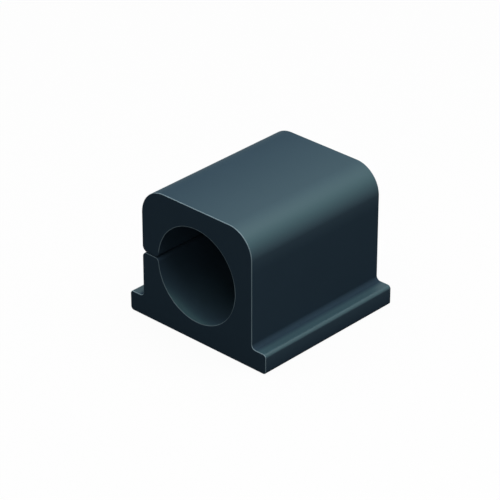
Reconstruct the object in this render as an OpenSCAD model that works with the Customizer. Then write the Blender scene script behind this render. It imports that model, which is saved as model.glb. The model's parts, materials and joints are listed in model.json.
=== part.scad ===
// Cable clip for one cable: a soft moulded block with a round bore along its length,
// a flat foot with a flange at each side, and a slit through one side wall.
// The wall above the slit is a lip that bends up to let the cable in and springs shut.
// X runs across the clip, Y along the cable and Z up from the surface that the foot sits on.

/* [Cable bore] */
// Diameter of the thickest cable that the clip holds
cable_d = 11; // [6:0.5:20]
// Play of that cable in the bore, measured on the diameter
cable_play = 0.2; // [0.1:0.05:0.8]

/* [Block] */
// Length of the clip along the cable
clip_l = 20; // [8:1:60]
// Thickness of each side wall beside the bore
side_wall = 2.4; // [1.8:0.1:5]
// Thickness of the wall over the bore
roof_t = 2.4; // [1.5:0.1:5]
// Thickness of the floor under the bore
floor_t = 2.4; // [1.5:0.1:5]
// Radius along both upper edges of the block
top_edge_r = 3.25; // [0.5:0.25:4]
// Chamfer that breaks every edge of the two end faces
edge_break = 0.1; // [0.05:0.05:0.15]

/* [Foot] */
// How far each flange stands out from its side wall
flange_w = 2; // [1.5:0.25:8]
// Thickness of the flanges
flange_t = 2.4; // [1.2:0.1:4]
// Radius along the upper and lower outer edge of each flange
flange_edge_r = 0.4; // [0.2:0.05:0.5]
// Fillet between each side wall and its flange
root_fillet_r = 0.5; // [0.1:0.05:0.8]

/* [Slit] */
// Width of the slit while the lip is shut
slit_gap = 0.1; // [0.05:0.05:0.4]
// Radius along the outer edge of the upper lip, which leads the cable in
upper_lip_r = 0.7; // [0.2:0.1:1.5]
// Radius along the outer edge of the lower lip
lower_lip_r = 0.6; // [0.2:0.1:0.8]
// Radius where the upper lip turns into the bore
upper_bore_lip_r = 0.2; // [0.2:0.1:0.8]
// Radius where the lower lip turns into the bore
lower_bore_lip_r = 0.5; // [0.2:0.1:0.8]

/* [Hidden] */
$fn = 96;

bore_r = (cable_d + cable_play) / 2;
body_w = 2 * (bore_r + side_wall);
foot_w = body_w + 2 * flange_w;
bore_z = floor_t + bore_r;
clip_h = bore_z + bore_r + roof_t;

// The slit lies level with the middle of the bore
slit_top = bore_z + slit_gap / 2;
slit_bottom = bore_z - slit_gap / 2;

// How far the circle that rounds a lip into the bore dips into it
bore_lip_dip = 0.02;

// How far a shape that cuts or joins reaches past the face that it works on
reach = 0.5;

// One edge of a lengthways outline: straight between the two end breaks, and from
// there in or out to another distance from the middle at the ends
function long_edge(between, at_ends, end_y) = [
    [at_ends, -end_y],
    [between, edge_break - clip_l / 2],
    [between, clip_l / 2 - edge_break],
    [at_ends, end_y]
];

// Edge of a solid bar, which the end breaks make narrower, and of a cut, which they widen
function bar_edge(half) = long_edge(half, half - edge_break, clip_l / 2);
function cut_edge(half) = long_edge(half, half + edge_break + reach, clip_l / 2 + reach);

// A flat outline with the given edge on its right, and the same edge turned round on its left
module two_edged(edge) {
    polygon(concat(edge, -edge));
}

// A round bar or cutter along Y, with the given edge turned about its middle
module turned(edge) {
    rotate([90, 0, 0]) rotate_extrude()
        polygon(concat([[0, edge[0].y]], edge, [[0, edge[3].y]]));
}

// A bar along Y between two heights, with end breaks at its left and right
module upright_bar(half_w, low, high) {
    translate([0, 0, low]) linear_extrude(height = high - low) two_edged(bar_edge(half_w));
}

// A bar or cutter along Y as wide as given, with the end breaks of its edge above and below
module level_bar(w, edge) {
    rotate([0, -90, 0]) linear_extrude(height = w, center = true) two_edged(edge);
}

// A plain block along Y that runs past both ends, between two corners of the section
module end_to_end(low, high) {
    translate([low.x, -clip_l / 2 - reach, low.y])
        cube([high.x - low.x, clip_l + 2 * reach, high.y - low.y]);
}

// The same shape at the left and at the right of the clip
module both_sides() {
    children();
    mirror([1, 0, 0]) children();
}

module foot() {
    translate([0, 0, flange_t / 2]) level_bar(foot_w - 2 * flange_edge_r, bar_edge(flange_t / 2));
    upright_bar(foot_w / 2, flange_edge_r, flange_t - flange_edge_r);
    both_sides() for (z = [flange_edge_r, flange_t - flange_edge_r])
        translate([foot_w / 2 - flange_edge_r, 0, z]) turned(bar_edge(flange_edge_r));
}

module block() {
    translate([0, 0, clip_h / 2]) level_bar(body_w - 2 * top_edge_r, bar_edge(clip_h / 2));
    upright_bar(body_w / 2, flange_t / 2, clip_h - top_edge_r);
    both_sides() translate([body_w / 2 - top_edge_r, 0, clip_h - top_edge_r])
        turned(bar_edge(top_edge_r));
}

module root_fillets() {
    root = [body_w / 2, flange_t];
    both_sides() difference() {
        translate([root.x - reach, -clip_l / 2, root.y - reach])
            cube([reach + root_fillet_r, clip_l, reach + root_fillet_r]);
        translate([root.x + root_fillet_r, 0, root.y + root_fillet_r]) turned(cut_edge(root_fillet_r));
    }
}

// What is cut away to round the outer edge of the upper lip
module upper_lip_piece() {
    edge_x = -body_w / 2;
    difference() {
        end_to_end([edge_x - reach, bore_z], [edge_x + upper_lip_r, slit_top + upper_lip_r]);
        translate([edge_x + upper_lip_r, 0, slit_top + upper_lip_r]) turned(bar_edge(upper_lip_r));
    }
}

// What is cut away to round the outer edge of the lower lip
module lower_lip_piece() {
    edge_x = -body_w / 2;
    difference() {
        end_to_end([edge_x - reach, slit_bottom - lower_lip_r], [edge_x + lower_lip_r, bore_z]);
        translate([edge_x + lower_lip_r, 0, slit_bottom - lower_lip_r]) turned(bar_edge(lower_lip_r));
    }
}

// What is cut away to round the lower lip into the bore, with a circle that touches the slit
module bore_lip_piece(lip_r) {
    lip_z = slit_bottom - lip_r;
    lip_x = -sqrt(pow(bore_r + lip_r - bore_lip_dip, 2) - pow(bore_z - lip_z, 2));
    difference() {
        rotate([90, 0, 0]) linear_extrude(height = clip_l + 2 * reach, center = true)
            polygon([[lip_x, lip_z], [lip_x, bore_z], [0, bore_z]]);
        translate([lip_x, 0, lip_z]) turned(bar_edge(lip_r));
    }
}

// The slit from the left side wall into the bore, with the rounds of its lips
module slit() {
    slit_depth = body_w / 2 + reach;
    translate([-slit_depth / 2, 0, bore_z]) level_bar(slit_depth, cut_edge(slit_gap / 2));
    upper_lip_piece();
    lower_lip_piece();
    bore_lip_piece(lower_bore_lip_r);
    translate([0, 0, 2 * bore_z]) mirror([0, 0, 1]) bore_lip_piece(upper_bore_lip_r);
}

// The whole clip, one moulding with the same section from end to end
module clip_body() {
    color([0.13, 0.18, 0.21]) difference() {
        union() {
            foot();
            block();
            root_fillets();
        }
        translate([0, 0, bore_z]) turned(cut_edge(bore_r));
        slit();
    }
}

clip_body();
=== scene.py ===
import json
import math

import bpy
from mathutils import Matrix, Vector


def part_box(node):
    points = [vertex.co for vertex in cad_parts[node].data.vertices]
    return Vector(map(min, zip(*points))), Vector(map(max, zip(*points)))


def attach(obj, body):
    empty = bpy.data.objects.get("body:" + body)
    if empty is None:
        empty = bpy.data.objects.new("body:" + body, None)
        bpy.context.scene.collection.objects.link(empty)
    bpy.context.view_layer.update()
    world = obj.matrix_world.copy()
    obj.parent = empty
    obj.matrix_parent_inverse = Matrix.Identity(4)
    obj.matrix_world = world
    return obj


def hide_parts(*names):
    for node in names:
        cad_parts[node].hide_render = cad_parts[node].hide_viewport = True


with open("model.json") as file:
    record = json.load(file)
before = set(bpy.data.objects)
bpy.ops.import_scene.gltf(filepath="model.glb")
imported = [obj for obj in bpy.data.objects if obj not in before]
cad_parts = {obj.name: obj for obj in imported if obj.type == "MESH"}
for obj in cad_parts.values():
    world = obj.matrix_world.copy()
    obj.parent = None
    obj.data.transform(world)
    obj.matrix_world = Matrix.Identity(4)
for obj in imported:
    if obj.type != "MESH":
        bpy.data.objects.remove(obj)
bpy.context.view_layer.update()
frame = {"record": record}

# The clip is one injection moulding of a soft thermoplastic elastomer, graphite with a blue-green tint.
# Block, bore, slit and foot have one section from end to end, with a fine round on every end edge,
# and the clip is stuck down by the flat underside of its foot.
MM = 0.001
clip_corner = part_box("clip_body")[1]
half_foot = clip_corner.x
half_length = clip_corner.y
clip_top = clip_corner.z
mounts = {mount["name"]: mount for mount in frame["record"]["mounts"]}
cable_bore = mounts["cable_bore"]
bore_r = cable_bore["dims"]["r_mm"] * MM
bore_middle = Vector((0, cable_bore["pos_m"][2]))
side_wall = 2.4 * MM
half_block = bore_r + side_wall
top_edge_r = 3.25 * MM
flange_top = 2.4 * MM
flange_edge_r = 0.4 * MM
root_fillet_r = 0.5 * MM
slit_gap = 0.1 * MM
slit_top = bore_middle.y + slit_gap / 2
slit_bottom = bore_middle.y - slit_gap / 2
upper_lip_r = 0.7 * MM
lower_lip_r = 0.6 * MM
upper_bore_lip_r = 0.6 * MM
lower_bore_lip_r = 0.5 * MM


def lean_of(out):
    """Degrees by which a way out of the material leans to the right of straight up"""
    return math.degrees(math.atan2(out.x, out.y))


def bell(value, middle, spread):
    """1 at the middle, and smoothly less away from it"""
    return math.exp(-((value - middle) / spread) ** 2)


def evenly(share):
    """The same share all along a stretch, of satin and painted sheen or of painted edge highlight"""
    return lambda point, out: share


def outer_satin_and_painted_sheen(point, out):
    """Satin coat and painted sheen on the top and the flanges, standing in for the lamps' highlight: most
    where an edge leans outwards, and on the block painted lighter towards the right"""
    edge_lean = 50
    edge_spread = 31
    edge_sheen = 0.70
    left_edge_share = 0.6
    flange_sheen = 0.64
    top_sheen = 0.24
    top_sheen_slope = 0.027 / MM
    lean = lean_of(out)
    level = max(0, out.y)
    edge = edge_sheen * bell(abs(lean), edge_lean, edge_spread)
    if point.y < bore_middle.y:
        return flange_sheen * level + edge
    top = max(0, top_sheen + top_sheen_slope * point.x)
    return top * level + edge * (1 if lean > 0 else left_edge_share)


def bore_satin_and_painted_light(point, out):
    """Satin coat and a painted pool of light on the floor of the bore, where the lamps shine in: most a
    little left of the middle
    """
    floor_lean = 24
    left_spread = 24
    right_spread = 42
    bore_floor_light = 2.05
    lean = lean_of(out)
    return bore_floor_light * bell(lean, floor_lean, left_spread if lean > floor_lean else right_spread)


def top_edge_highlight(point, out):
    """Painted highlight along the end edges of the top, fading round its left shoulder"""
    top_highlight = 2.2
    shoulder_lean = -5
    shoulder_spread = 20
    return top_highlight * bell(min(lean_of(out), shoulder_lean), shoulder_lean, shoulder_spread)


def rim_edge_highlight(point, out):
    """Painted highlight along the rim of the bore: most across from the slit, and least a little below
    there"""
    rim_highlight = 0.85
    far_highlight = 1.5
    far_lean = -90
    far_spread = 13
    dimmed_share = 0.6
    dimmed_lean = -59
    dimmed_spread = 15
    lean = lean_of(out)
    highlight_level = rim_highlight + far_highlight * bell(lean, far_lean, far_spread)
    return highlight_level * (1 - dimmed_share * bell(lean, dimmed_lean, dimmed_spread))


def flat_place(x, z, out, satin_sheen=evenly(0), edge_light=evenly(1)):
    """A place between the ends of a flat of the section: a point, its way out of the material, and what
    gives its satin and painted sheen and the painted highlight of its end edge"""
    return [(Vector((x, z)), Vector(out), satin_sheen, edge_light)]


def round_stretch(middle, radius, start, end, satin_sheen=evenly(0), edge_light=evenly(1)):
    """Places along an arc of the section, between two bearings in degrees"""
    degrees_a_step = 4
    steps = math.ceil(abs(end - start) / degrees_a_step)
    side = math.copysign(1, end - start)
    places = []
    for step in range(steps + 1):
        bearing = math.radians(start + (end - start) * step / steps)
        spoke = Vector((math.cos(bearing), math.sin(bearing)))
        places.append((Vector(middle) + radius * spoke, side * spoke, satin_sheen, edge_light))
    return places


def beside_bore(radius, height):
    """Middle of a round that touches the bore from its left at a height, and the degrees by which it lies
    above the bore's middle, seen from there"""
    rise = height - bore_middle.y
    middle = bore_middle + Vector((-math.sqrt((bore_r + radius) ** 2 - rise ** 2), rise))
    return middle, math.degrees(math.asin(rise / (bore_r + radius)))


def mirrored(places):
    """The same stretch at the other side of the clip"""
    return [
        (Vector((-point.x, point.y)), Vector((-out.x, out.y)), satin_sheen, edge_light)
        for point, out, satin_sheen, edge_light in reversed(places)
    ]


def clip_section():
    """The clip's outline with its satin, painted sheen and painted edge highlight, once round with the
    material on its left, and straight from each round to the next"""
    flange_x = half_foot - flange_edge_r
    flange_z = flange_top - flange_edge_r
    # Shares of the painted edge highlight along each stretch
    flange_highlight = evenly(1.25)
    flange_side_highlight = evenly(0.92)
    wall_highlight = evenly(1.15)
    flange_sheen_start = 0.55 * MM
    fillet_x = half_block + root_fillet_r
    fillet_z = flange_top + root_fillet_r
    sheen_start_x = fillet_x + flange_sheen_start
    flange = (
        round_stretch((flange_x, flange_edge_r), flange_edge_r, 270, 360, edge_light=flange_side_highlight)
        + round_stretch((flange_x, flange_z), flange_edge_r, 0, 90, outer_satin_and_painted_sheen, flange_highlight)
        + flat_place(sheen_start_x, flange_top, (0, 1), outer_satin_and_painted_sheen, flange_highlight)
        + round_stretch((fillet_x, fillet_z), root_fillet_r, 270, 180, edge_light=wall_highlight)
    )
    top_x = half_block - top_edge_r
    top_z = clip_top - top_edge_r
    wall_sheen_end = 1.5 * MM
    shoulder = (
        flat_place(half_block, top_z - wall_sheen_end, (1, 0), edge_light=wall_highlight)
        + round_stretch((top_x, top_z), top_edge_r, 0, 90, outer_satin_and_painted_sheen, top_edge_highlight)
    )
    # The upper lip's edge gets no painted highlight, the lower lip's some
    no_highlight = evenly(0)
    lip_highlight = evenly(0.72)
    upper_lip = (upper_lip_r - half_block, slit_top + upper_lip_r)
    lower_lip = (lower_lip_r - half_block, slit_bottom - lower_lip_r)
    upper_bore_lip, upper_rise = beside_bore(upper_bore_lip_r, slit_top + upper_bore_lip_r)
    lower_bore_lip, lower_rise = beside_bore(lower_bore_lip_r, slit_bottom - lower_bore_lip_r)
    bore_ends = (180 - upper_rise, -180 - lower_rise)
    bore = round_stretch(bore_middle, bore_r, *bore_ends, bore_satin_and_painted_light, rim_edge_highlight)
    # The first and last place of the bore are already the ends of the lips' rounds
    slit_and_bore = (
        round_stretch(upper_lip, upper_lip_r, 180, 270, edge_light=no_highlight)
        + round_stretch(upper_bore_lip, upper_bore_lip_r, 270, 360 - upper_rise, edge_light=no_highlight)
        + bore[1:-1]
        + round_stretch(lower_bore_lip, lower_bore_lip_r, -lower_rise, 90, edge_light=lip_highlight)
        + round_stretch(lower_lip, lower_lip_r, 90, 180, edge_light=lip_highlight)
    )
    outline = flange + shoulder + mirrored(shoulder) + slit_and_bore + mirrored(flange)
    return [(point, out, satin_sheen(point, out), edge_light(point, out)) for point, out, satin_sheen, edge_light in outline]


def clip_mesh():
    """The section drawn out from end to end in rings, with a round at both end edges. The painted edge
    highlight is strongest in the middle of that round outside, and where it meets the end face at the bore,
    from where it fades over a margin. The satin and the painted light in the bore fade to a small share
    from the bore's mouths inwards"""
    end_edge_r = 0.075 * MM
    rim_edge_r = 0.04 * MM
    rim_margin = 0.05 * MM
    edge_steps = 6
    # Share of the painted edge highlight that also takes the satin and painted sheen
    edge_sheen = 0.2
    # The painted light in the bore fades from its mouths inwards, to a small share deep inside
    mouth_depths = [depth * MM for depth in (6, 4, 2.8, 2, 1.4, 0.9, 0.5, 0.2)]
    mouth_fade = 0.7 * MM
    deep_share = 0.08
    section = clip_section()
    turns = [math.radians(90) * step / edge_steps for step in range(edge_steps + 1)]
    end_rings = [(depth, 0, 0) for depth in mouth_depths]
    end_rings += [(0, turn, 0) for turn in turns]
    end_rings += [(0, turns[-1], rim_margin)]
    rings = [(-1, *ring) for ring in reversed(end_rings)] + [(1, *ring) for ring in end_rings]
    points = []
    ways_out = []
    end_edge_highlight = []
    satin_and_painted_sheen = []
    for end, depth, turn, margin in rings:
        for point, out, satin_sheen, edge_light in section:
            at_bore = (point - bore_middle).length < bore_r + upper_bore_lip_r
            edge_r = rim_edge_r if at_bore else end_edge_r
            at = point - (edge_r * (1 - math.cos(turn)) + margin) * out
            along = half_length - depth - edge_r * (1 - math.sin(turn))
            points.append((at.x, end * along, at.y))
            ways_out.append((out.x * math.cos(turn), end * math.sin(turn), out.y * math.cos(turn)))
            # Painted highlight of the end edge
            end_edge_highlight.append(0 if margin else edge_light * math.sin(turn if at_bore else 2 * turn))
            kept_share = max(deep_share, math.exp(-depth / mouth_fade)) if at_bore else 1
            # Satin and painted sheen, less towards the end edges and into the bore
            satin_sheen_here = satin_sheen * kept_share * math.cos(turn)
            satin_and_painted_sheen.append(min(1, max(satin_sheen_here, edge_sheen * end_edge_highlight[-1])))
    count = len(section)
    last_start = len(points) - count
    faces = [list(range(count)), list(reversed(range(last_start, len(points))))]
    for start in range(0, last_start, count):
        next_start = start + count
        for corner in range(count):
            following = (corner + 1) % count
            faces.append((start + corner, next_start + corner, next_start + following, start + following))
    mesh = bpy.data.meshes.new("clip")
    mesh.from_pydata(points, [], faces)
    mesh.polygons.foreach_set("use_smooth", [True] * len(mesh.polygons))
    mesh.normals_split_custom_set_from_vertices(ways_out)
    # Painted highlights along the end edges
    mesh.attributes.new("end_edge_highlight", "FLOAT", "POINT").data.foreach_set("value", end_edge_highlight)
    # Satin coat share, and painted sheen and painted light for the base colour
    mesh.attributes.new("satin_and_painted_sheen", "FLOAT", "POINT").data.foreach_set("value", satin_and_painted_sheen)
    mesh.update()
    return mesh


class Socket:
    """An output of a node: sums with it add Math nodes, and node() adds any other node to its tree"""

    def __init__(self, tree, output=None):
        self.tree = tree
        self.output = output

    def node(self, kind, settings=None, sockets=None, output=0):
        """A new node of any kind, with its settings, and the values or links of its sockets"""
        made = self.tree.nodes.new(kind)
        for name, value in (settings or {}).items():
            setattr(made, name, value)
        for name, value in (sockets or {}).items():
            if isinstance(value, Socket):
                self.tree.links.new(value.output, made.inputs[name])
            else:
                made.inputs[name].default_value = value
        return Socket(self.tree, made.outputs[output] if made.outputs else None)

    def beside(self, name):
        """Another output of the same node"""
        return Socket(self.tree, self.output.node.outputs[name])

    def maths(self, operation, first, second):
        """What a Math node makes of two sockets or numbers"""
        return self.node("ShaderNodeMath", {"operation": operation}, {0: first, 1: second})

    def __add__(self, other):
        return self.maths("ADD", self, other)

    def __radd__(self, other):
        return self.maths("ADD", other, self)

    def __rmul__(self, other):
        return self.maths("MULTIPLY", other, self)

    def mix(self, share, first, second):
        """The first colour, with a share of the second in it"""
        colour_a = 6
        colour_b = 7
        colour_out = 2
        sockets = {"Factor": share, colour_a: first, colour_b: second}
        return self.node("ShaderNodeMix", {"data_type": "RGBA"}, sockets, colour_out)


def empty_nodes(owner):
    """The emptied node tree of a material or world, ready for its own nodes"""
    owner.use_nodes = True
    owner.node_tree.nodes.clear()
    return Socket(owner.node_tree)


def soft_graphite():
    """Dull soft plastic with slight clouds of tone and a fine moulded grain, with a satin coat and a
    greener painted sheen where the lamps' highlights fall, and painted highlights along its end edges"""
    body_colour = (0.041, 0.074, 0.107, 1)
    cloud_colour = (0.037, 0.067, 0.097, 1)
    # Colour of the painted sheen
    painted_sheen_colour = (0.061, 0.132, 0.155, 1)
    # Colour of the painted edge highlights
    edge_highlight_colour = (0.30, 0.42, 0.48, 1)
    cloud_size = 5 * MM
    cloud_detail = 3
    grain_size = 0.12 * MM
    grain_detail = 2
    grain_depth = 0.004 * MM
    dullness = 0.46
    cloud_dullness = 0.08
    satin_share = 0.77
    satin_dullness = 0.45
    material = bpy.data.materials.new("soft_graphite")
    tree = empty_nodes(material)
    place = tree.node("ShaderNodeTexCoord", output="Object")
    cloud_sockets = {"Vector": place, "Scale": 1 / cloud_size, "Detail": cloud_detail}
    clouds = tree.node("ShaderNodeTexNoise", {}, cloud_sockets)
    grain_sockets = {"Vector": place, "Scale": 1 / grain_size, "Detail": grain_detail}
    grain = tree.node("ShaderNodeTexNoise", {}, grain_sockets)
    satin_and_painted_sheen = tree.node("ShaderNodeAttribute", {"attribute_name": "satin_and_painted_sheen"}, output="Fac")
    end_edge_highlight = tree.node("ShaderNodeAttribute", {"attribute_name": "end_edge_highlight"}, output="Fac")
    # Painted sheen and painted light in the bore, mixed into the base colour
    body_and_sheen_colour = tree.mix(satin_and_painted_sheen, tree.mix(clouds, cloud_colour, body_colour), painted_sheen_colour)
    relief = tree.node("ShaderNodeBump", {}, {"Strength": 1, "Distance": grain_depth, "Height": grain})
    plastic = tree.node("ShaderNodeBsdfPrincipled", {}, {
        # Painted highlights along the end edges, mixed into the base colour
        "Base Color": tree.mix(end_edge_highlight, body_and_sheen_colour, edge_highlight_colour),
        "Roughness": dullness + cloud_dullness * clouds,
        "Specular IOR Level": 0,
        "Coat Weight": satin_share * satin_and_painted_sheen,
        "Coat Roughness": satin_dullness,
        "Normal": relief,
    })
    tree.node("ShaderNodeOutputMaterial", {}, {"Surface": plastic})
    return material


clip = bpy.data.objects.new("clip", clip_mesh())
bpy.context.scene.collection.objects.link(clip)
clip.data.materials.append(soft_graphite())
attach(clip, "root")
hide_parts("clip_body")

# The floor is a wide sheet of matt white card that the clip stands on, a hair below the underside of its
# foot. The card and the surroundings are white to the eye and in gloss, and the card takes a soft shadow.
floor_half = 2.0
floor_top = -0.01 * MM
floor_white = (0.98, 0.98, 0.98, 1)
floor_unseen = (0.12, 0.12, 0.12, 1)
even_white_share = 0.95


def seen(tree):
    """1 for what is seen directly, in gloss or through something clear, and 0 for light that spreads"""
    rays = tree.node("ShaderNodeLightPath", output="Is Camera Ray")
    return rays + rays.beside("Is Glossy Ray") + rays.beside("Is Transmission Ray")


def white_card():
    """Matt card, most of whose white is even, so that it shows no edge and only a slight shadow"""
    material = bpy.data.materials.new("white_card")
    tree = empty_nodes(material)
    shown = seen(tree)
    card = tree.node("ShaderNodeBsdfPrincipled", {}, {
        "Base Color": tree.mix(shown, floor_unseen, floor_white),
        "Roughness": 1,
        "Specular IOR Level": 0,
    })
    even_white = tree.node("ShaderNodeEmission", {}, {"Strength": 1})
    both = tree.node("ShaderNodeMixShader", {}, {0: even_white_share * shown, 1: card, 2: even_white})
    tree.node("ShaderNodeOutputMaterial", {}, {"Surface": both})
    return material


floor_mesh = bpy.data.meshes.new("floor")
floor_signs = ((-1, -1), (1, -1), (1, 1), (-1, 1))
floor_corners = [(x * floor_half, y * floor_half, floor_top) for x, y in floor_signs]
floor_mesh.from_pydata(floor_corners, [], [(0, 1, 2, 3)])
floor_mesh.materials.append(white_card())
floor = bpy.data.objects.new("floor", floor_mesh)
bpy.context.scene.collection.objects.link(floor)

world = bpy.data.worlds.new("surroundings")
bpy.context.scene.world = world
world_tree = empty_nodes(world)
surroundings = world_tree.node("ShaderNodeBackground", {}, {"Strength": seen(world_tree)})
world_tree.node("ShaderNodeOutputWorld", {}, {"Surface": surroundings})

# Three square soft boxes light the clip: a wide one overhead, a little to the left, a smaller one above
# its right, which brings out the upper edge, and a weak one beside the camera, which fills the bore.
clip_middle = Vector((0, 0, clip_top / 2))


def soft_box(name, towards, away, size, power):
    """A lamp at a distance from the clip's middle, in the given direction, turned to face it"""
    lamp = bpy.data.lights.new(name, "AREA")
    lamp.size = size
    lamp.energy = power
    box = bpy.data.objects.new(name, lamp)
    way = Vector(towards).normalized()
    box.location = clip_middle + away * way
    box.rotation_euler = way.to_track_quat("Z", "Y").to_euler()
    bpy.context.scene.collection.objects.link(box)


soft_box("overhead_box", towards=(-0.1, 0, 1), away=250 * MM, size=400 * MM, power=0.61)
soft_box("right_box", towards=(0.45, 0.05, 1), away=200 * MM, size=160 * MM, power=0.15)
soft_box("front_box", towards=(0.6, -0.64, 0.49), away=250 * MM, size=160 * MM, power=0.048)

# The camera stands well back with a long lens, to the right of the clip's near end and a little above it,
# so that the clip's edges fall where the photograph has them.
camera_bearing = math.radians(43.18)
camera_rise = math.radians(29.32)
camera_away = 290.7 * MM
aim = Vector((-0.589, -1.104, 7.312)) * MM
camera_data = bpy.data.cameras.new("camera")
camera_data.sensor_width = 36
camera_data.lens = 194.6
camera_data.clip_start = 10 * MM
camera = bpy.data.objects.new("camera", camera_data)
camera_way = Vector((
    math.sin(camera_bearing) * math.cos(camera_rise),
    -math.cos(camera_bearing) * math.cos(camera_rise),
    math.sin(camera_rise),
))
camera.location = aim + camera_away * camera_way
camera.rotation_euler = camera_way.to_track_quat("Z", "Y").to_euler()
bpy.context.scene.collection.objects.link(camera)
bpy.context.scene.camera = camera
bpy.context.scene.view_settings.view_transform = "Standard"
